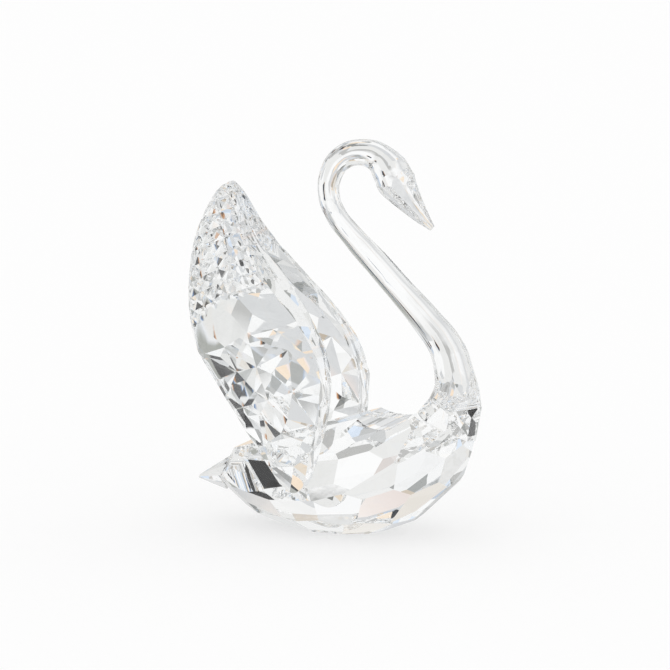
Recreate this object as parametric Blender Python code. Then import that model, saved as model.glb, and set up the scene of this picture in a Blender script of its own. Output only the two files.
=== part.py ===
"""A swan figurine in clear cut glass, about 96 mm tall.

Five glass pieces are ground apart and bonded face to face with thin films of clear adhesive: the body, the
tail, two wings and the neck with its chest and head. Nothing moves.

The frame is in metres. +X is where the swan faces, +Y is its left side, +Z is up, and the origin is the centre
of the ground flat that the body stands on. Lengths below are written in millimetres and multiplied by MM.
"""

import math

import bmesh
import bpy
from mathutils import Matrix, Vector

MM = 0.001
LEFT, RIGHT = 1, -1

# Joints between the pieces: a film of adhesive with a hair of air on both sides of it.
FILM = 0.15 * MM
AIR = 0.03 * MM
MERGE = 0.01 * MM
SNAP = 0.001 * MM
FLAT_ANGLE = math.radians(0.05)
GLASS_INDEX = 1.54

# Body: an ellipsoid with unlike ends, cut into flat facets.
HULL_CENTRE = Vector((1.0, 0.0, 21.0)) * MM
HULL_REAR = 33.5 * MM
HULL_HALF_WIDTH = 18.5 * MM
HULL_DEPTH = 22.3 * MM
HULL_RISE = 17.5 * MM
HULL_BLOCK = Vector((45.0, 25.0, 50.0)) * MM
# Rows of facets: (latitude in degrees, facets, share of a step that the row is turned, length to the front).
HULL_ROWS = (
    (-60, 10, 0.5, 30.0 * MM), (-37, 14, 0.0, 30.3 * MM), (-13, 14, 0.5, 32.6 * MM),
    (11, 14, 0.0, 34.0 * MM), (36, 12, 0.5, 34.5 * MM),
)
# The back is one flat that rises to the front; in front of the wings a round saddle is polished into it.
BACK_POINT = Vector((9.0, 0.0, 29.0)) * MM
BACK_SLOPE = 0.30
SADDLE_AXIS = Vector((15.0, 0.0, 38.5)) * MM
SADDLE_RADIUS = 11.3 * MM
SADDLE_LENGTH = 80.0 * MM
SADDLE_STEPS = 96

# Seams, each a plane through a point with its normal pointing away from the body.
NECK_SEAM = Vector((29.0, 0.0, 28.1)) * MM
NECK_SEAM_NORMAL = Vector((0.5, 0.0, 0.865)).normalized()
TAIL_SEAM = Vector((-26.6, 0.0, 12.4)) * MM
TAIL_SEAM_NORMAL = Vector((-0.943, 0.0, 0.331)).normalized()
FLANK_POINT = Vector((-5.0, 14.5, 11.0)) * MM
FLANK_TILT = math.radians(28.0)
FLANK_YAW = math.radians(13.0)

# Tail: a spike with six flat sides.
TAIL_SIDES = 6
TAIL_HALF_WIDTH = 5.6 * MM
TAIL_HALF_HEIGHT = 5.6 * MM
TAIL_TIP = Vector((-35.9, 0.0, 10.0)) * MM
TAIL_TIP_RADIUS = 0.5 * MM

# Wing: a leaf outline seen from the side, between two curved surfaces that open to the front.
LEAF_OUTLINE = (
    (-27.4, 83.7), (-33.0, 75.5), (-36.0, 62.0), (-34.8, 47.5), (-29.3, 35.0),
    (-18.8, 19.6), (-9.0, 13.2), (-3.2, 11.6), (0.6, 22.0), (2.4, 31.0),
    (1.6, 41.5), (-3.4, 50.5), (-13.0, 61.0), (-20.6, 70.5), (-26.2, 83.2),
)
LEAF_STEPS = 5
LEAF_PLATE = (-5.0 * MM, 45.0 * MM)
LEAF_ROOT = Vector((-4.0, 12.0)) * MM
LEAF_LEAN = math.radians(22.4)
# A wing surface stands "out" from the middle plane at its own centre, falls away along and across the leaf, and
# can have a rounded ridge that its two flanks slope down from.
OUTER = {
    "out": 18.8 * MM, "along": 17.0 * MM, "across": 3.0 * MM, "bend": 4.9, "bow": 8.0, "twist": 4.0,
    "lean": 0.12, "ridge": 0.37, "round": 3.0 * MM,
}
INNER = {
    "out": 10.5 * MM, "along": 6.5 * MM, "across": -3.0 * MM, "bend": 5.8, "bow": 5.0, "twist": 1.0,
    "lean": 0.06, "ridge": 0.0, "round": 1.0 * MM,
}
WING_GAP = 0.3 * MM
# Facets on the outer surface: cells of four flats round a raised middle, bold near the root and faint above it.
FACET_MIDDLE = Vector((31.0, 3.0)) * MM
FACET_PITCH = Vector((8.5, 7.5)) * MM
FACET_CELLS = (12, 8)
FACET_RISE = 0.6 * MM
FACET_STRAY = Vector((1.6, 1.2, 0.3)) * MM
FACET_FADE = (30.0 * MM, 48.0 * MM)
FACET_FAINT = 0.15
GOLDEN_ANGLE = math.radians(137.5)
# Crossed cuts on the wing's inner face, above its hollow.
CUT_PITCH = 3.4 * MM
CUT_DEPTH = 0.9 * MM
CUT_MIDDLE = Vector((60.0, -12.5)) * MM
CUT_SIZE = Vector((44.0, 34.0)) * MM
# The smooth hollow on the wing's inner side, drawn as a fine grid.
HOLLOW_MIDDLE = Vector((15.0, 0.0)) * MM
HOLLOW_SIZE = Vector((120.0, 64.0)) * MM
HOLLOW_CELLS = (40, 20)
# What is cut from the inner side reaches past the swan's middle plane to here.
CORE_BACK = -10.0 * MM
# The heel: one long flat that thins the wing's lower rear edge, drawn through two places of the side view.
HEEL_START = Vector((-31.0, 0.0, 41.0)) * MM
HEEL_END = Vector((-15.5, 0.0, 19.6)) * MM
HEEL_OUT = 9.5 * MM
HEEL_TILT = 0.75

# Neck: (X, Z, radius) in millimetres along the centre line from inside the body to the tip of the bill.
NECK_LINE = (
    (26.6, 20.5, 10.0), (29.6, 27.9, 9.2), (31.6, 33.6, 6.6), (31.2, 39.6, 5.1), (28.6, 46.8, 4.2),
    (24.0, 52.4, 3.7), (17.2, 59.4, 3.3), (9.8, 66.9, 3.1), (4.3, 72.3, 2.75), (0.3, 77.0, 2.55),
    (-1.6, 82.0, 2.6), (-0.9, 87.2, 2.8), (2.1, 91.1, 3.0), (6.6, 92.5, 3.2), (11.0, 91.6, 3.6),
    (14.1, 88.8, 4.5), (16.0, 85.5, 4.8), (18.2, 82.5, 3.8), (20.7, 79.6, 2.6), (25.1, 75.1, 0.75),
)

NECK_STEPS = 6
NECK_RING_STEPS = 10

# Rows of flats on the front of the chest: (place on the neck's centre line, way up the neck in degrees,
# radius of the glass there, flats in the row), lengths in millimetres.
CHEST_ROWS = (
    ((30.2, 29.5), 66.0, 8.6, 5), ((31.6, 34.0), 80.0, 6.5, 4), ((31.4, 38.6), 98.0, 5.3, 5),
    ((30.2, 43.2), 108.0, 4.6, 4),
)
CHEST_STEP = math.radians(32.0)
CHEST_DEPTH = 0.955

# Flats on the head, in a frame that runs down the bill: (distance down the bill, roll round it, pitch towards
# its tip, distance out from its middle), in millimetres and degrees. All but the first two are on both sides.
HEAD_CENTRE = Vector((15.5, 0.0, 87.0)) * MM
HEAD_DOWN = math.radians(-51.3)
HEAD_FLATS = (
    (-2.0, 0.0, -18.0, 4.4),   # crown
    (7.0, 0.0, 16.0, 3.0),     # top of the bill
    (3.5, 90.0, 13.0, 3.5),    # cheeks
    (5.0, 45.0, 14.0, 3.4),    # brows
    (6.0, 142.0, 14.0, 3.3),   # jaws
)


def metres(x, z):
    """A point of the swan's middle plane, from millimetres."""
    return Vector((x, 0.0, z)) * MM


def reset_scene():
    """Remove what the scene starts with."""
    for item in list(bpy.data.objects):
        bpy.data.objects.remove(item)


def new_collection(name):
    """An empty collection in the scene."""
    collection = bpy.data.collections.new(name)
    bpy.context.scene.collection.children.link(collection)
    return collection


def add_mesh(name, bm, collection):
    """Turn a bmesh into an object with its faces pointing out."""
    bmesh.ops.recalc_face_normals(bm, faces=bm.faces)
    mesh = bpy.data.meshes.new(name)
    bm.to_mesh(mesh)
    bm.free()
    item = bpy.data.objects.new(name, mesh)
    collection.objects.link(item)
    return item


def as_cutter(item):
    """Mark a mesh as a tool that isn't part of the swan."""
    item.hide_render = True
    item.display_type = "WIRE"
    return item


def clear_glass(name, tint, roughness):
    """Clear glass of one tint."""
    material = bpy.data.materials.new(name)
    material.use_nodes = True
    shader = material.node_tree.nodes["Principled BSDF"]
    shader.inputs["Base Color"].default_value = (*tint, 1.0)
    shader.inputs["Roughness"].default_value = roughness
    shader.inputs["Metallic"].default_value = 0.0
    shader.inputs["IOR"].default_value = GLASS_INDEX
    shader.inputs["Transmission Weight"].default_value = 1.0
    return material


def block(low, high):
    """A bmesh box between two corners."""
    bm = bmesh.new()
    size = high - low
    place = Matrix.Translation((low + high) / 2) @ Matrix.Diagonal((*size, 1.0))
    bmesh.ops.create_cube(bm, size=1.0, matrix=place)
    return bm


def slice_off(bm, point, normal):
    """Cut away everything beyond a plane and close the cut with one flat face."""
    everything = bm.verts[:] + bm.edges[:] + bm.faces[:]
    cut = bmesh.ops.bisect_plane(
        bm, geom=everything, dist=SNAP, plane_co=point, plane_no=normal, clear_outer=True)
    rim = [part for part in cut["geom_cut"] if isinstance(part, bmesh.types.BMEdge)]
    if rim:
        bmesh.ops.holes_fill(bm, edges=rim, sides=len(rim))


def bool_with(item, cutter, operation):
    """Cut, join or intersect a piece with another mesh."""
    modifier = item.modifiers.new(operation.title(), "BOOLEAN")
    modifier.operation = operation
    modifier.solver = "EXACT"
    modifier.object = cutter


def settled(item):
    """A bmesh of a piece as its modifiers leave it."""
    bpy.context.view_layer.update()
    evaluated = item.evaluated_get(bpy.context.evaluated_depsgraph_get())
    bm = bmesh.new()
    bm.from_mesh(evaluated.to_mesh())
    bmesh.ops.transform(bm, matrix=item.matrix_world, verts=bm.verts)
    bmesh.ops.remove_doubles(bm, verts=bm.verts, dist=MERGE)
    bmesh.ops.dissolve_limit(bm, angle_limit=FLAT_ANGLE, verts=bm.verts, edges=bm.edges)
    return bm


def flank_normal(side):
    """The way a wing's seat on the body faces: out and up, and a little to the back."""
    level = math.cos(FLANK_TILT)
    return Vector((-math.sin(FLANK_YAW) * level, side * math.cos(FLANK_YAW) * level, math.sin(FLANK_TILT)))


def flank_point(side):
    """A point of a wing's seat on the body."""
    return Vector((FLANK_POINT.x, side * FLANK_POINT.y, FLANK_POINT.z))


def hull_tangent(latitude, longitude, front):
    """A point of the body's ellipsoid and the way out from it."""
    length = front if math.cos(longitude) > 0.0 else HULL_REAR
    height = HULL_RISE if latitude > 0.0 else HULL_DEPTH
    radii = Vector((length, HULL_HALF_WIDTH, height))
    level = math.cos(latitude)
    unit = Vector((level * math.cos(longitude), level * math.sin(longitude), math.sin(latitude)))
    point = HULL_CENTRE + Vector(u * r for u, r in zip(unit, radii, strict=True))
    normal = Vector(u / r for u, r in zip(unit, radii, strict=True)).normalized()
    return point, normal


def faceted_hull():
    """The body before its seats are ground: a block with one flat facet at each tangent, a back and a base."""
    bm = block(HULL_CENTRE - HULL_BLOCK, HULL_CENTRE + HULL_BLOCK)
    for degrees, count, stagger, front in HULL_ROWS:
        for i in range(count):
            longitude = 2.0 * math.pi * (i + stagger) / count
            slice_off(bm, *hull_tangent(math.radians(degrees), longitude, front))
    slice_off(bm, Vector(), Vector((0.0, 0.0, -1.0)))
    slice_off(bm, BACK_POINT, Vector((-BACK_SLOPE, 0.0, 1.0)).normalized())
    return bm


def saddle_cutter(cutters):
    """The round that is polished into the body's back, and up into the foot of the neck."""
    bpy.ops.mesh.primitive_cylinder_add(
        vertices=SADDLE_STEPS, radius=SADDLE_RADIUS, depth=SADDLE_LENGTH, location=SADDLE_AXIS,
        rotation=(math.pi / 2, 0.0, 0.0),
    )
    saddle = as_cutter(bpy.context.object)
    saddle.name = "saddle_cutter"
    for other in list(saddle.users_collection):
        other.objects.unlink(saddle)
    cutters.objects.link(saddle)
    return saddle


def make_body(collection, saddle):
    """The body with its four seats and its saddle."""
    bm = faceted_hull()
    for side in (LEFT, RIGHT):
        slice_off(bm, flank_point(side), flank_normal(side))
    slice_off(bm, NECK_SEAM, NECK_SEAM_NORMAL)
    slice_off(bm, TAIL_SEAM, TAIL_SEAM_NORMAL)
    bmesh.ops.remove_doubles(bm, verts=bm.verts, dist=MERGE)
    bool_with(add_mesh("body", bm, collection), saddle, "DIFFERENCE")


def leaf_place(along, across):
    """A place in a wing's side view, from its distance along the leaf from the root and across it."""
    x = LEAF_ROOT[0] - along * math.sin(LEAF_LEAN) + across * math.cos(LEAF_LEAN)
    z = LEAF_ROOT[1] + along * math.cos(LEAF_LEAN) + across * math.sin(LEAF_LEAN)
    return x, z


def surface_out(shape, along, across):
    """How far a wing surface stands out from the swan's middle plane."""
    t, c = along - shape["along"], across - shape["across"]
    ridge = math.hypot(c, shape["round"]) - shape["round"]
    fall = shape["bend"] * t * t + shape["bow"] * c * c + shape["twist"] * t * c
    return shape["out"] + shape["lean"] * c - shape["ridge"] * ridge - fall


def leaf_prism(collection):
    """The leaf outline, as a thick plate across the wing."""
    curve = bpy.data.curves.new("leaf_outline", "CURVE")
    curve.dimensions = "2D"
    curve.fill_mode = "BOTH"
    curve.extrude = (LEAF_PLATE[1] - LEAF_PLATE[0]) / 2
    curve.resolution_u = LEAF_STEPS
    spline = curve.splines.new("BEZIER")
    spline.bezier_points.add(len(LEAF_OUTLINE) - 1)
    for handle, (x, z) in zip(spline.bezier_points, LEAF_OUTLINE, strict=True):
        handle.co = Vector((x, z, 0.0)) * MM
        handle.handle_left_type = "AUTO"
        handle.handle_right_type = "AUTO"
    spline.use_cyclic_u = True
    drawn = bpy.data.objects.new("leaf_outline", curve)
    collection.objects.link(drawn)
    middle = Vector((0.0, sum(LEAF_PLATE) / 2, 0.0))
    drawn.matrix_world = Matrix.Translation(middle) @ Matrix.Rotation(math.pi / 2, 4, "X")
    bm = settled(drawn)
    bpy.data.objects.remove(drawn)
    return as_cutter(add_mesh("leaf_prism", bm, collection))


def leaf_grid(cells, middle, size):
    """A flat grid over part of the leaf, its X along the leaf from the root and its Y across."""
    bm = bmesh.new()
    bmesh.ops.create_grid(bm, x_segments=cells[0], y_segments=cells[1], size=0.5)
    for vert in bm.verts:
        vert.co = (middle.x + vert.co.x * size.x, middle.y + vert.co.y * size.y, 0.0)
    return bm


def stand_up(bm, out):
    """Stand a flat grid up beside the swan's middle plane, as far out as a function of its corners says."""
    for vert in bm.verts:
        along, across, _ = vert.co
        x, z = leaf_place(along, across)
        vert.co = (x, out(vert), z)


def thicken(bm):
    """Close a sheet into a block that reaches past the middle of the swan."""
    grown = bmesh.ops.extrude_face_region(bm, geom=bm.faces[:])
    for part in grown["geom"]:
        if isinstance(part, bmesh.types.BMVert):
            part.co.y = CORE_BACK


def faceted_slab():
    """A slab whose outer side is made of flat facets, with a line of their corners as its ridge."""
    size = Vector([pitch * cells for pitch, cells in zip(FACET_PITCH, FACET_CELLS, strict=True)])
    bm = leaf_grid(FACET_CELLS, FACET_MIDDLE, size)
    tops = set(bmesh.ops.poke(bm, faces=bm.faces[:])["verts"])
    stray = {}
    for i, vert in enumerate(bm.verts):
        turn = i * GOLDEN_ANGLE
        stray[vert] = math.sin(2.0 * turn)
        if abs(vert.co.y - OUTER["across"]) > MERGE:
            vert.co.x += math.cos(turn) * FACET_STRAY.x
            vert.co.y += math.sin(turn) * FACET_STRAY.y

    def out(vert):
        along, across, _ = vert.co
        start, end = FACET_FADE
        bold = min(1.0, max(FACET_FAINT, (end - along) / (end - start)))
        rise = FACET_RISE * (vert in tops) + FACET_STRAY.z * stray[vert]
        return surface_out(OUTER, along, across) + bold * rise

    stand_up(bm, out)
    thicken(bm)
    slice_off(bm, Vector((0.0, WING_GAP, 0.0)), Vector((0.0, -1.0, 0.0)))
    return bm


def inner_core(collection):
    """What is ground out of the wing's inner side: a smooth hollow."""
    bm = leaf_grid(HOLLOW_CELLS, HOLLOW_MIDDLE, HOLLOW_SIZE)
    stand_up(bm, lambda vert: max(surface_out(INNER, vert.co.x, vert.co.y), WING_GAP / 2))
    thicken(bm)
    return as_cutter(add_mesh("inner_core", bm, collection))


def crossed_cuts(collection):
    """The cutter that leaves rows of small pyramids on the wing's inner face, above the hollow."""
    cells = [round(length / CUT_PITCH) for length in CUT_SIZE]
    bm = leaf_grid(cells, CUT_MIDDLE, CUT_SIZE)
    tops = set(bmesh.ops.poke(bm, faces=bm.faces[:])["verts"])
    stand_up(bm, lambda vert: WING_GAP + AIR + CUT_DEPTH * (vert not in tops))
    thicken(bm)
    return as_cutter(add_mesh("crossed_cuts", bm, collection))


def wing_blank(cutters):
    """A left wing before its seat is ground."""
    wing = add_mesh("wing_blank", faceted_slab(), cutters)
    bool_with(wing, leaf_prism(cutters), "INTERSECT")
    bool_with(wing, inner_core(cutters), "DIFFERENCE")
    bool_with(wing, crossed_cuts(cutters), "DIFFERENCE")
    bm = settled(wing)
    bpy.data.objects.remove(wing)
    stretch = (HEEL_END - HEEL_START).normalized()
    outward = Vector((stretch.z, 0.0, -stretch.x))
    heel = HEEL_START + Vector((0.0, HEEL_OUT, 0.0))
    slice_off(bm, heel, (outward * HEEL_TILT + Vector((0.0, 1.0 - HEEL_TILT, 0.0))).normalized())
    return bm


def mirrored(bm):
    """A copy of a left piece for the right side."""
    other = bm.copy()
    bmesh.ops.scale(other, vec=(1.0, -1.0, 1.0), verts=other.verts)
    bmesh.ops.reverse_faces(other, faces=other.faces)
    return other


def seat_and_film(bm, point, normal, limit, cutters):
    """Grind a piece's seat on a seam of the body, and make the adhesive film that fills what the two share."""
    film = bm.copy()
    slice_off(bm, point + normal * (FILM + 2 * AIR), -normal)
    slice_off(film, point + normal * AIR, -normal)
    slice_off(film, point + normal * (AIR + FILM), normal)
    blank = add_mesh("film_blank", film, cutters)
    bool_with(blank, limit, "INTERSECT")
    film = settled(blank)
    bpy.data.objects.remove(blank)
    for made in (bm, film):
        bmesh.ops.remove_doubles(made, verts=made.verts, dist=MERGE)
    return bm, film


def make_wings(collection, cutters, limit):
    """Both wings, mirror images of each other, and their films."""
    made = seat_and_film(wing_blank(cutters), flank_point(LEFT), flank_normal(LEFT), limit, cutters)
    for bm, name in zip(made, ("wing", "bond_wing"), strict=True):
        add_mesh(name + "_right", mirrored(bm), collection)
        add_mesh(name + "_left", bm, collection)


def make_tail(collection, cutters, limit):
    """A spike on the tail's seam, and its film."""
    turn = TAIL_SEAM_NORMAL.to_track_quat("Z", "Y").to_matrix().to_4x4()
    depth = (TAIL_TIP - TAIL_SEAM).dot(TAIL_SEAM_NORMAL)
    bm = bmesh.new()
    place = Matrix.Translation(TAIL_SEAM + TAIL_SEAM_NORMAL * depth / 2) @ turn
    bmesh.ops.create_cone(
        bm, cap_ends=True, segments=TAIL_SIDES, radius1=MM, radius2=MM, depth=depth, matrix=place)
    for vert in bm.verts:
        height = (vert.co - TAIL_SEAM).dot(TAIL_SEAM_NORMAL)
        foot = TAIL_SEAM + TAIL_SEAM_NORMAL * height
        spoke = vert.co - foot
        if height > depth / 2:
            vert.co = TAIL_TIP + spoke * (TAIL_TIP_RADIUS / MM)
        else:
            vert.co = foot + Vector((spoke.x * TAIL_HALF_HEIGHT, spoke.y * TAIL_HALF_WIDTH,
                                     spoke.z * TAIL_HALF_HEIGHT)) / MM
    tail, film = seat_and_film(bm, TAIL_SEAM, TAIL_SEAM_NORMAL, limit, cutters)
    add_mesh("tail", tail, collection)
    add_mesh("bond_tail", film, collection)


def neck_rod(cutters):
    """The round glass from below the seam to the bill, as a mesh."""
    curve = bpy.data.curves.new("neck_line", "CURVE")
    curve.dimensions = "3D"
    curve.bevel_depth = 1.0 * MM
    curve.bevel_resolution = NECK_RING_STEPS
    curve.use_fill_caps = True
    curve.resolution_u = NECK_STEPS
    spline = curve.splines.new("BEZIER")
    spline.bezier_points.add(len(NECK_LINE) - 1)
    for handle, (x, z, radius) in zip(spline.bezier_points, NECK_LINE, strict=True):
        handle.co = metres(x, z)
        handle.radius = radius
        handle.handle_left_type = "AUTO"
        handle.handle_right_type = "AUTO"
    drawn = bpy.data.objects.new("neck_line", curve)
    cutters.objects.link(drawn)
    bm = settled(drawn)
    bpy.data.objects.remove(drawn)
    return bm


def grind_flat(bm, point, outward):
    """Grind a flat face on a round piece: remove the cap that stands beyond a plane around a point."""
    def beyond(vert):
        return (vert.co - point).dot(outward) > SNAP

    start = min(filter(beyond, bm.verts), key=lambda vert: (vert.co - point).length)
    cap, fresh = {start}, [start]
    while fresh:
        vert = fresh.pop()
        joined = {edge.other_vert(vert) for edge in vert.link_edges}
        found = {other for other in joined if beyond(other)} - cap
        cap |= found
        fresh += sorted(found, key=lambda other: other.index)
    faces = {face for vert in cap for face in vert.link_faces}
    edges = {edge for face in faces for edge in face.edges}
    verts = {vert for face in faces for vert in face.verts}
    bmesh.ops.bisect_plane(bm, geom=[*verts, *edges, *faces], dist=SNAP, plane_co=point, plane_no=outward)
    bmesh.ops.delete(bm, geom=list(cap), context="VERTS")
    rim = [edge for edge in bm.edges if edge.is_boundary]
    bmesh.ops.holes_fill(bm, edges=rim, sides=len(rim))
    bm.verts.index_update()


def grind_chest(bm):
    """Rows of staggered flats over the front of the chest."""
    for (x, z), heading, radius, count in CHEST_ROWS:
        angle = math.radians(heading)
        front = Vector((math.sin(angle), 0.0, -math.cos(angle)))
        for i in range(count):
            turn = (i - (count - 1) / 2) * CHEST_STEP
            outward = front * math.cos(turn) + Vector((0.0, math.sin(turn), 0.0))
            point = metres(x, z) + outward * radius * CHEST_DEPTH * MM
            grind_flat(bm, point, outward)


def grind_head(bm):
    """The flats of the crown, the bill and both sides of the head."""
    forward = Vector((math.cos(HEAD_DOWN), 0.0, math.sin(HEAD_DOWN)))
    up = Vector((-forward.z, 0.0, forward.x))
    for along, roll, pitch, out in HEAD_FLATS:
        for side in (LEFT, RIGHT) if roll else (LEFT,):
            lean, turn = math.radians(pitch), math.radians(roll)
            spoke = up * math.cos(turn) + Vector((0.0, side * math.sin(turn), 0.0))
            outward = spoke * math.cos(lean) + forward * math.sin(lean)
            grind_flat(bm, HEAD_CENTRE + forward * along * MM + spoke * out * MM, outward)


def make_neck(collection, cutters, limit, saddle):
    """The piece of chest, neck and head, and its film; the saddle runs up into both."""
    bm = neck_rod(cutters)
    grind_chest(bm)
    grind_head(bm)
    made = seat_and_film(bm, NECK_SEAM, NECK_SEAM_NORMAL, limit, cutters)
    for name, piece in zip(("neck", "bond_neck"), made, strict=True):
        bool_with(add_mesh(name, piece, collection), saddle, "DIFFERENCE")


def main():
    """Make the nine pieces and give each its material."""
    reset_scene()
    swan = new_collection("swan_figurine")
    cutters = new_collection("cutters")
    saddle = saddle_cutter(cutters)
    limit = as_cutter(add_mesh("film_limit", faceted_hull(), cutters))
    make_body(swan, saddle)
    make_tail(swan, cutters, limit)
    make_wings(swan, cutters, limit)
    make_neck(swan, cutters, limit, saddle)
    crystal = clear_glass("crystal", (0.96, 0.97, 0.97), 0.02)
    adhesive = clear_glass("adhesive", (0.95, 0.95, 0.94), 0.05)
    for item in swan.objects:
        item.data.materials.clear()
        item.data.materials.append(adhesive if item.name.startswith("bond") else crystal)


main()
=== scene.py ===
"""Looks of the crystal swan: clear cut glass on a pale floor, in a white studio with a few small cards.

Every visible piece is a CAD node's own mesh. Where glass touches adhesive, the glass gets a contact face
just inside its seat, so that light runs through the joint as it does through optical adhesive.
"""

import math

import bmesh
import bpy
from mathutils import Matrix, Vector


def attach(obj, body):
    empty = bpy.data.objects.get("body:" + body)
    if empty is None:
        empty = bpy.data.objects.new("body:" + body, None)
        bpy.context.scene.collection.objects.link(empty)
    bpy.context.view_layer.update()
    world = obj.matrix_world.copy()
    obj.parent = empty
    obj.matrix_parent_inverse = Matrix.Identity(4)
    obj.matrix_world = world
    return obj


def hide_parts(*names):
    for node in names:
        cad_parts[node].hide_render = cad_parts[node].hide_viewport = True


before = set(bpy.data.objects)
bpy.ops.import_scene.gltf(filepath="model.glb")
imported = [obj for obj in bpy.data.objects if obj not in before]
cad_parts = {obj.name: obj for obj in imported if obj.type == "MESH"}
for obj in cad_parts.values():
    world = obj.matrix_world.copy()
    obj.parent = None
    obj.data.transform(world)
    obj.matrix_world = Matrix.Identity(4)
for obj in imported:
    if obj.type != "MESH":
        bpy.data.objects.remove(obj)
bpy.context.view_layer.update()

MM = 0.001

# Meshes: corners closer than WELD are one, and faces closer in angle than FLAT are one facet.
WELD = 0.001 * MM
FLAT = math.radians(0.2)
FACET_ANGLE = math.radians(8)
NECK_ANGLE = math.radians(15)
FILM_ANGLE = math.radians(5)

# Contacts: how far the contact face lies inside the film, and what counts as a face on the film's plane.
CONTACT_BITE = 0.004 * MM
PARALLEL = 0.9999
FACING = 0.99
SEAT_REACH = 4
CONTACT_SLOT = 1

# Glass: tint, index, and for the cut and the drawn glass the size and depth of the waves in the polish.
TINT = (0.985, 0.99, 0.99)
CONTACT_TINT = (0.95, 0.96, 0.96)
GLASS_INDEX = 1.545
CONTACT_INDEX = 1.5
POLISH_ROUGHNESS = 0.01
CUT_WAVE = (4.0 * MM, 0.004 * MM)
DRAWN_WAVE = (6.0 * MM, 0.02 * MM)
SPECKS = 1400.0


# ---------------------------------------------------------------- node helpers

class Nodes:
    """A node tree with short calls for the nodes that the materials share."""

    def __init__(self, tree):
        self.tree = tree
        tree.nodes.clear()

    def add(self, kind, inputs=None, **settings):
        node = self.tree.nodes.new(kind)
        for key, value in settings.items():
            setattr(node, key, value)
        for key, value in (inputs or {}).items():
            if isinstance(value, bpy.types.NodeSocket):
                self.tree.links.new(value, node.inputs[key])
            else:
                node.inputs[key].default_value = value
        return node

    def math(self, operation, *values, clamp=False):
        node = self.add("ShaderNodeMath", dict(enumerate(values)), operation=operation, use_clamp=clamp)
        return node.outputs[0]

    def ramp(self, factor, stops, interpolation="LINEAR"):
        node = self.add("ShaderNodeValToRGB", {"Fac": factor})
        node.color_ramp.interpolation = interpolation
        elements = node.color_ramp.elements
        while len(elements) > 1:
            elements.remove(elements[-1])
        for i, (place, colour) in enumerate(stops):
            element = elements[0] if i == 0 else elements.new(place)
            element.position = place
            element.color = (*colour, 1.0)
        return node.outputs["Color"]

    def mix(self, factor, first, second):
        node = self.add("ShaderNodeMix", data_type="RGBA")
        for index, value in ((0, factor), (6, first), (7, second)):
            if isinstance(value, bpy.types.NodeSocket):
                self.tree.links.new(value, node.inputs[index])
            elif index == 0:
                node.inputs[index].default_value = value
            else:
                node.inputs[index].default_value = (*value, 1.0)
        return node.outputs[2]

    def multiply(self, first, second):
        node = self.add(
            "ShaderNodeMix", {0: 1.0, 6: first, 7: second}, data_type="RGBA", blend_type="MULTIPLY")
        return node.outputs[2]


def new_material(name):
    """An empty node material and its nodes."""
    material = bpy.data.materials.new(name)
    material.use_nodes = True
    return material, Nodes(material.node_tree)


def glass_material(name, wave):
    """Clear glass with a faint waviness and a faint change of polish over the surface."""
    wave_size, wave_depth = wave
    material, nodes = new_material(name)
    place = nodes.add("ShaderNodeTexCoord").outputs["Object"]
    waves = nodes.add("ShaderNodeTexNoise", {"Vector": place, "Scale": 1.0 / wave_size, "Detail": 2.0})
    polish = nodes.add("ShaderNodeTexNoise", {"Vector": place, "Scale": 0.5 / wave_size, "Detail": 4.0})
    rough = nodes.add("ShaderNodeMapRange", {
        "Value": polish.outputs["Fac"], "From Min": 0.4, "From Max": 0.7,
        "To Min": 0.0, "To Max": POLISH_ROUGHNESS})
    bump = nodes.add("ShaderNodeBump", {
        "Height": waves.outputs["Fac"], "Strength": 1.0, "Distance": wave_depth})
    shader = nodes.add("ShaderNodeBsdfPrincipled", {
        "Base Color": (*TINT, 1.0), "Roughness": rough.outputs["Result"], "IOR": GLASS_INDEX,
        "Transmission Weight": 1.0, "Normal": bump.outputs["Normal"]})
    nodes.add("ShaderNodeOutputMaterial", {"Surface": shader.outputs[0]})
    return material


def contact_material(name):
    """A bonded face: the glass goes on through it, but for a few faint specks."""
    material, nodes = new_material(name)
    place = nodes.add("ShaderNodeTexCoord").outputs["Object"]
    speck = nodes.add("ShaderNodeTexVoronoi", {"Vector": place, "Scale": SPECKS})
    alpha = nodes.add("ShaderNodeMapRange", {
        "Value": speck.outputs["Distance"], "From Min": 0.10, "From Max": 0.14,
        "To Min": 0.25, "To Max": 0.0})
    shader = nodes.add("ShaderNodeBsdfPrincipled", {
        "Base Color": (*CONTACT_TINT, 1.0), "Roughness": 0.1, "IOR": CONTACT_INDEX,
        "Transmission Weight": 1.0, "Alpha": alpha.outputs["Result"]})
    nodes.add("ShaderNodeOutputMaterial", {"Surface": shader.outputs[0]})
    return material


# ---------------------------------------------------------------- pieces

def node_bmesh(name):
    """A CAD node's mesh with its split corners welded and its flat faces whole again."""
    bm = bmesh.new()
    bm.from_mesh(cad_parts[name].data)
    bmesh.ops.remove_doubles(bm, verts=bm.verts, dist=WELD)
    bmesh.ops.dissolve_limit(bm, angle_limit=FLAT, verts=bm.verts, edges=bm.edges)
    return bm


def new_piece(name, bm, materials):
    """An object made of a bmesh, which it uses up."""
    mesh = bpy.data.meshes.new(name)
    bm.to_mesh(mesh)
    bm.free()
    for material in materials:
        mesh.materials.append(material)
    piece = bpy.data.objects.new(name, mesh)
    bpy.context.scene.collection.objects.link(piece)
    return piece


def film_normal(film_bm):
    """The way a thin film faces: the normal of its largest face."""
    largest = max(film_bm.faces, key=lambda face: face.calc_area())
    return largest.normal.copy()


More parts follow.
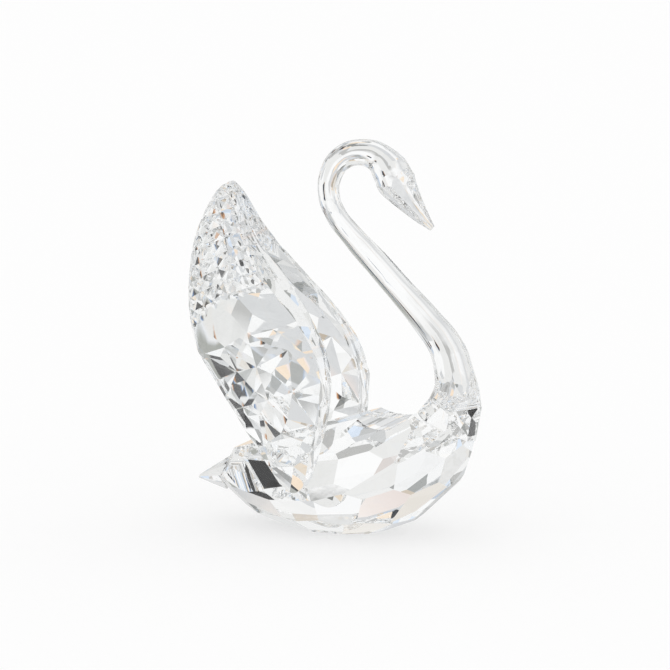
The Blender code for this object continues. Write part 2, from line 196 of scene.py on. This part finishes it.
def bite(piece, film_name):
    """Mark where the adhesive touches a piece: a bite a few microns deep with the contact material."""
    film = node_bmesh(film_name)
    normal = film_normal(film)
    centre = sum((vert.co for vert in film.verts), Vector()) / len(film.verts)
    half = max(abs((vert.co - centre).dot(normal)) for vert in film.verts)
    body = bmesh.new()
    body.from_mesh(piece.data)
    body.faces.ensure_lookup_table()
    seats = [
        face for face in body.faces
        if abs(face.normal.dot(normal)) > PARALLEL
        and abs((face.verts[0].co - centre).dot(normal)) < SEAT_REACH * half]
    seat = max(seats, key=lambda face: face.calc_area())
    gap = (seat.verts[0].co - centre).dot(normal)
    body.free()
    for vert in film.verts:
        side = (vert.co - centre).dot(normal)
        outer = gap + math.copysign(CONTACT_BITE, gap) if side * gap > 0 else side
        vert.co += normal * (outer - side)
    for face in film.faces:
        face.material_index = CONTACT_SLOT
    cutter = new_piece("cutter", film, list(piece.data.materials))
    modifier = piece.modifiers.new("bite", "BOOLEAN")
    modifier.operation = "DIFFERENCE"
    modifier.solver = "EXACT"
    modifier.object = cutter
    settle(piece)
    bpy.data.objects.remove(cutter)


def settle(piece):
    """Apply a piece's modifiers."""
    bpy.context.view_layer.update()
    evaluated = piece.evaluated_get(bpy.context.evaluated_depsgraph_get())
    mesh = bpy.data.meshes.new_from_object(evaluated)
    piece.modifiers.clear()
    piece.data = mesh


def shade(piece, angle):
    """Keep edges crisp, but for neighbours closer than the angle, which run smooth into each other."""
    mesh = piece.data
    for name in ("custom_normal", "sharp_face", "sharp_edge"):
        if name in mesh.attributes:
            mesh.attributes.remove(mesh.attributes[name])
    mesh.set_sharp_from_angle(angle=angle)


def glass_piece(name, films, glass, contact, angle):
    """A node of clear glass with a contact face under each film that it touches."""
    piece = new_piece(name + "_glass", node_bmesh(name), [glass, contact])
    for film in films:
        bite(piece, film)
    shade(piece, angle)
    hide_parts(name)
    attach(piece, "root")


def film_piece(name, glass, contact):
    """A film of adhesive: contact faces on its two broad sides and clear edges."""
    bm = node_bmesh(name)
    normal = film_normal(bm)
    for face in bm.faces:
        if abs(face.normal.dot(normal)) > FACING:
            face.material_index = CONTACT_SLOT
    piece = new_piece(name + "_film", bm, [glass, contact])
    shade(piece, FILM_ANGLE)
    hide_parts(name)
    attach(piece, "root")


# ---------------------------------------------------------------- studio

WHITE = (1.0, 1.0, 1.0)
PALE = (0.84, 0.84, 0.83)
LIGHT = (0.68, 0.69, 0.70)
GREY = (0.40, 0.41, 0.40)
PEACH = (0.98, 0.80, 0.62)
DARK = (0.008, 0.008, 0.009)
CREAM = (0.80, 0.76, 0.70)
APRICOT = (1.0, 0.86, 0.70)
SKY = (0.76, 0.86, 1.0)

# Panels: how finely the walls are split up, broad ones in greys and small ones with a few spots of colour.
BROAD_SCALE = 3.2
SMALL_SCALE = 8.0
BROAD_TONES = ((0.00, (0.50, 0.50, 0.49)), (0.16, LIGHT), (0.36, PALE), (0.62, (0.98, 0.98, 0.98)))
SMALL_TONES = ((0.00, GREY), (0.06, LIGHT), (0.10, APRICOT), (0.14, SKY), (0.18, WHITE))

# Cards that hang round the swan: azimuth, elevation, half width, half height and turn in degrees, and a
# colour. Azimuth 0 is straight out from its left side, and grows towards the way that the swan faces.
CARDS = (
    # behind the wings' front flanks
    (-25, 2, 9, 7, 40, LIGHT),
    (-24, -1, 2.6, 2.4, 15, PEACH),
    (-18, 3, 2.5, 2.5, -20, GREY),
    (-27, 8, 3.5, 2.0, 30, WHITE),
    (-41, -14, 6, 5, 0, LIGHT),
    # behind the wings' rear flanks
    (-2, 10, 8, 6, 40, PALE),
    (-13.3, -1.8, 1.8, 1.5, 0, DARK),
    (4, 9, 2.4, 2.4, 0, DARK),
    (14, 8, 2.4, 2.4, 15, DARK),
    (0.5, 15, 2.8, 2.6, 10, DARK),
    (6.5, 18, 3.2, 3.2, -15, DARK),
    (10, 11, 2.6, 2.6, 0, GREY),
    (-8, 11.5, 3.5, 2.8, 0, CREAM),
    (23, 12, 3.5, 3.5, 0, DARK),
    # seen by the tail end of the body
    (15, -25, 7, 5, 0, PALE),
    (2.6, -3.6, 2.4, 4.2, 0, PALE),
    (-2.5, -5.5, 3.2, 2.6, 10, DARK),
    (36, 47, 6, 6, 0, DARK),
    (108, -50, 11, 13, 0, DARK),
    (-14, -30, 4, 3.5, 0, PEACH),
    # seen by the front of the body and by its lower rim
    (-15, 17, 7, 5, 0, WHITE),
    (-24, -24, 8, 6, 0, PALE),
    (-62, -26, 9, 8, 0, PALE),
    (175, -46, 6, 5, 10, DARK),
    (-43, -1, 4, 5, 0, CREAM),
    (-120, 24, 9, 9, 0, PALE),
    (-135, -42, 6, 5, 15, GREY),
    # seen by the chest
    (-121, -26, 5, 4, 20, DARK),
    (-93, -37, 6, 4, -15, DARK),
    # seen by the crossed cuts alone
    (41, -19, 6, 4, 30, DARK),
    (-7.5, -37, 4, 3.5, -15, DARK),
    (20, -50, 8, 5, -15, DARK),
    # in front, for looks from behind and from the ends
    (122, -14, 4, 3, 20, DARK),
    (148, 4, 3, 4, 0, DARK),
    (138, -34, 5, 4, 10, GREY),
    (112, 10, 4, 3, -20, PEACH),
    (160, -20, 4, 5, 0, LIGHT),
    (-100, -14, 4, 3, 0, DARK),
    (-78, 8, 4, 3, 20, GREY),
)
EDGE_SLOPE = 6.0
ORANGE_FRINGE = (0.62, 0.26, 0.06)
BLUE_FRINGE = (0.10, 0.24, 0.50)

# The neck's light is a band round the axis that the neck's long straight part runs along.
NECK_AXIS = Vector((0.684, 0.0, -0.729))
NECK_BAND = -0.125
NECK_SLOPE = 14.0
NECK_REACH = 1.6
NECK_TONES = (
    (0.0, PALE), (0.16, LIGHT), (0.22, PALE), (0.26, LIGHT), (0.29, (0.95, 0.95, 0.95)), (0.35, WHITE),
    (0.475, WHITE), (0.495, (0.36, 0.37, 0.34)), (0.66, (0.40, 0.41, 0.38)), (0.70, PALE), (0.80, WHITE),
)

# Camera: degrees round from the side and up, distance, width of the picture and height of its middle.
CAMERA_AZIMUTH = math.radians(22.0)
CAMERA_ELEVATION = math.radians(10.0)
CAMERA_DISTANCE = 1.2
PICTURE_WIDTH = 163.4 * MM
PICTURE_MIDDLE = 46.83 * MM
SENSOR_WIDTH = 36.0

FLOOR_HALF = 8.0
FLOOR_DROP = 0.05 * MM
FLOOR_GLOW = 1.06
FLOOR_GLOW_SHARE = 0.6
BOUNCES = 24


def patchwork(nodes, direction, scale, channel, tones):
    """Patches of flat tones all round the swan, picked by one channel of each patch's random colour."""
    patches = nodes.add("ShaderNodeTexVoronoi", {"Vector": direction, "Scale": scale, "Randomness": 1.0})
    pick = nodes.add("ShaderNodeSeparateColor", {"Color": patches.outputs["Color"]}).outputs[channel]
    return nodes.ramp(pick, tones, "CONSTANT")


def panels(nodes, direction):
    """Broad panels in white and grey, with small dark and tinted ones in front of them."""
    broad = patchwork(nodes, direction, BROAD_SCALE, "Red", BROAD_TONES)
    small = patchwork(nodes, direction, SMALL_SCALE, "Green", SMALL_TONES)
    return nodes.multiply(broad, small)


def inside(nodes, place):
    """One where a place is between a card's two edges at -1 and 1, falling softly to zero at them."""
    return nodes.math("MULTIPLY_ADD", nodes.math("ABSOLUTE", place), -EDGE_SLOPE, EDGE_SLOPE, clamp=True)


def lit(colour, light):
    """A colour with a share of what it lacks of white added to it."""
    return tuple(part + more * (1.0 - part) for part, more in zip(colour, light, strict=True))


def card(nodes, azimuth, elevation, seen, spec):
    """Hang one card in front of what is seen so far, its sides fringed orange and blue."""
    middle, height, half_width, half_height, turn, colour = spec
    across = nodes.math("SUBTRACT", azimuth, float(middle))
    across = nodes.math("WRAP", across, 180.0, -180.0)
    along = nodes.math("SUBTRACT", elevation, float(height))
    lean = math.radians(turn)
    u = nodes.math("MULTIPLY", across, math.cos(lean) / half_width)
    u = nodes.math("MULTIPLY_ADD", along, math.sin(lean) / half_width, u)
    v = nodes.math("MULTIPLY", along, math.cos(lean) / half_height)
    v = nodes.math("MULTIPLY_ADD", across, -math.sin(lean) / half_height, v)
    mask = nodes.math("MULTIPLY", inside(nodes, u), inside(nodes, v))
    place = nodes.math("MULTIPLY_ADD", u, 0.5, 0.5)
    orange = lit(colour, ORANGE_FRINGE)
    blue = lit(colour, BLUE_FRINGE)
    fringed = nodes.ramp(place, (
        (0.0, orange), (0.07, orange), (0.17, colour), (0.84, colour), (0.93, blue)))
    return nodes.mix(mask, seen, fringed)


def neck_light(nodes, direction, azimuth, seen):
    """The long diffuser that the neck is lit by: white in the middle and grey-green at one end."""
    dot = nodes.add("ShaderNodeVectorMath", {0: direction, 1: NECK_AXIS}, operation="DOT_PRODUCT")
    off = nodes.math("ABSOLUTE", nodes.math("SUBTRACT", dot.outputs["Value"], NECK_BAND))
    mask = nodes.math("MULTIPLY_ADD", off, -NECK_SLOPE, NECK_REACH, clamp=True)
    share = nodes.math("MULTIPLY_ADD", azimuth, 1.0 / 180.0, 0.5)
    return nodes.mix(mask, seen, nodes.ramp(share, NECK_TONES))


def studio_world():
    """The studio round the swan, which only the glass shows: floor and camera see plain white."""
    world = bpy.data.worlds.new("studio")
    world.use_nodes = True
    bpy.context.scene.world = world
    nodes = Nodes(world.node_tree)
    direction = nodes.add("ShaderNodeTexCoord").outputs["Generated"]
    parts = nodes.add("ShaderNodeSeparateXYZ", {"Vector": direction})
    degrees = 180.0 / math.pi
    azimuth = nodes.math("MULTIPLY", nodes.math("ARCTAN2", parts.outputs["X"], parts.outputs["Y"]), degrees)
    elevation = nodes.math("MULTIPLY", nodes.math("ARCSINE", parts.outputs["Z"]), degrees)
    seen = neck_light(nodes, direction, azimuth, panels(nodes, direction))
    for spec in CARDS:
        seen = card(nodes, azimuth, elevation, seen, spec)
    path = nodes.add("ShaderNodeLightPath")
    plain = nodes.math("MAXIMUM", path.outputs["Is Camera Ray"], path.outputs["Is Diffuse Ray"])
    colour = nodes.mix(plain, seen, WHITE)
    background = nodes.add("ShaderNodeBackground", {"Color": colour, "Strength": 1.0})
    nodes.add("ShaderNodeOutputWorld", {"Surface": background.outputs[0]})


def floor():
    """A pale floor just under the swan, kept out of the glass so that only its cards show there."""
    bm = bmesh.new()
    bmesh.ops.create_grid(bm, x_segments=1, y_segments=1, size=FLOOR_HALF)
    material, nodes = new_material("floor")
    diffuse = nodes.add("ShaderNodeBsdfDiffuse", {"Color": (0.9, 0.9, 0.9, 1.0)})
    glow = nodes.add("ShaderNodeEmission", {"Color": (*WHITE, 1.0), "Strength": FLOOR_GLOW})
    mix = nodes.add(
        "ShaderNodeMixShader", {0: FLOOR_GLOW_SHARE, 1: diffuse.outputs[0], 2: glow.outputs[0]})
    nodes.add("ShaderNodeOutputMaterial", {"Surface": mix.outputs[0]})
    plane = new_piece("floor", bm, [material])
    plane.location.z = -FLOOR_DROP
    plane.visible_transmission = False
    plane.visible_glossy = False


def camera():
    """The view of the photo: from the right side, a little from the front and a little from above."""
    level = Vector((math.sin(CAMERA_AZIMUTH), -math.cos(CAMERA_AZIMUTH), 0.0))
    upright = Vector((0.0, 0.0, 1.0))
    toward = level * math.cos(CAMERA_ELEVATION) + upright * math.sin(CAMERA_ELEVATION)
    up = upright * math.cos(CAMERA_ELEVATION) - level * math.sin(CAMERA_ELEVATION)
    target = up * PICTURE_MIDDLE
    data = bpy.data.cameras.new("camera")
    data.sensor_width = SENSOR_WIDTH
    data.lens = SENSOR_WIDTH * CAMERA_DISTANCE / PICTURE_WIDTH
    data.clip_start = 0.01
    view = bpy.data.objects.new("camera", data)
    bpy.context.scene.collection.objects.link(view)
    view.location = target + toward * CAMERA_DISTANCE
    view.rotation_euler = toward.to_track_quat("Z", "Y").to_euler()
    bpy.context.scene.camera = view


def light_paths():
    """Enough bounces for light to get out of the glass again."""
    scene = bpy.context.scene
    scene.view_settings.view_transform = "Standard"
    cycles = scene.cycles
    cycles.max_bounces = BOUNCES
    cycles.transmission_bounces = BOUNCES
    cycles.glossy_bounces = BOUNCES
    cycles.transparent_max_bounces = 2 * BOUNCES
    cycles.use_denoising = True


def swan():
    """The five pieces of glass and the four films between them."""
    cut = glass_material("facet_glass", CUT_WAVE)
    drawn = glass_material("drawn_glass", DRAWN_WAVE)
    contact = contact_material("bonded_face")
    films = ("bond_wing_left", "bond_wing_right", "bond_neck", "bond_tail")
    glass_piece("body", films, cut, contact, FACET_ANGLE)
    for name in ("wing_left", "wing_right", "tail"):
        glass_piece(name, ["bond_" + name], cut, contact, FACET_ANGLE)
    glass_piece("neck", ["bond_neck"], drawn, contact, NECK_ANGLE)
    for name in films:
        film_piece(name, cut, contact)


def main():
    swan()
    studio_world()
    floor()
    camera()
    light_paths()


main()
